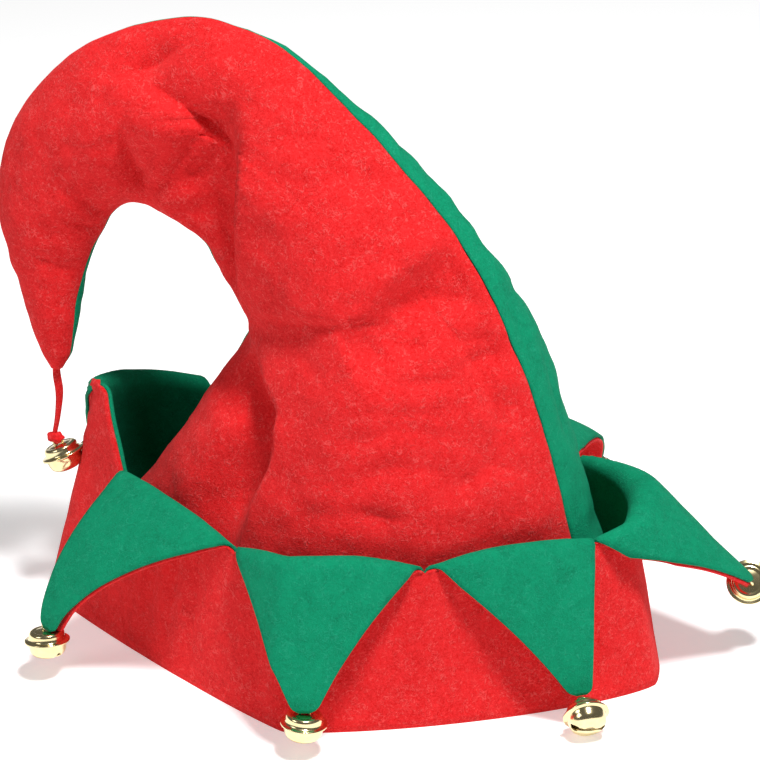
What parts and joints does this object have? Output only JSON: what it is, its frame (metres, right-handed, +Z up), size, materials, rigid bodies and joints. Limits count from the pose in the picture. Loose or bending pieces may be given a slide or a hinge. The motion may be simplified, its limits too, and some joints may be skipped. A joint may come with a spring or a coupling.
{
  "type": "elf hat",
  "caption": "Red and green felt elf hat with a curled peak, a turned-up cuff cut to points and brass jingle bells on the points and the peak.",
  "frame": {"origin": "centre of the bounding box of the hat without the bell and strip at its peak, on the surface it rests on", "axes": "+Z up, X along the hat with the curled peak over toward -X, red panel toward -Y and green panel toward +Y"},
  "size_m": [0.2778, 0.1992, 0.2313],
  "materials": {
    "felt_red": "matte",
    "felt_green": "matte",
    "bell_brass": "polished"
  },
  "bodies": {
    "root": {"crown_red": "felt_red", "crown_green": "felt_green", "cuff_outer": "felt_red", "cuff_lining": "felt_green", "bell_0": "bell_brass", "bell_1": "bell_brass", "bell_2": "bell_brass", "bell_3": "bell_brass", "bell_4": "bell_brass", "bell_5": "bell_brass", "bell_6": "bell_brass", "tip_strip": "felt_red", "tip_bell": "bell_brass"}
  },
  "joints": []
}
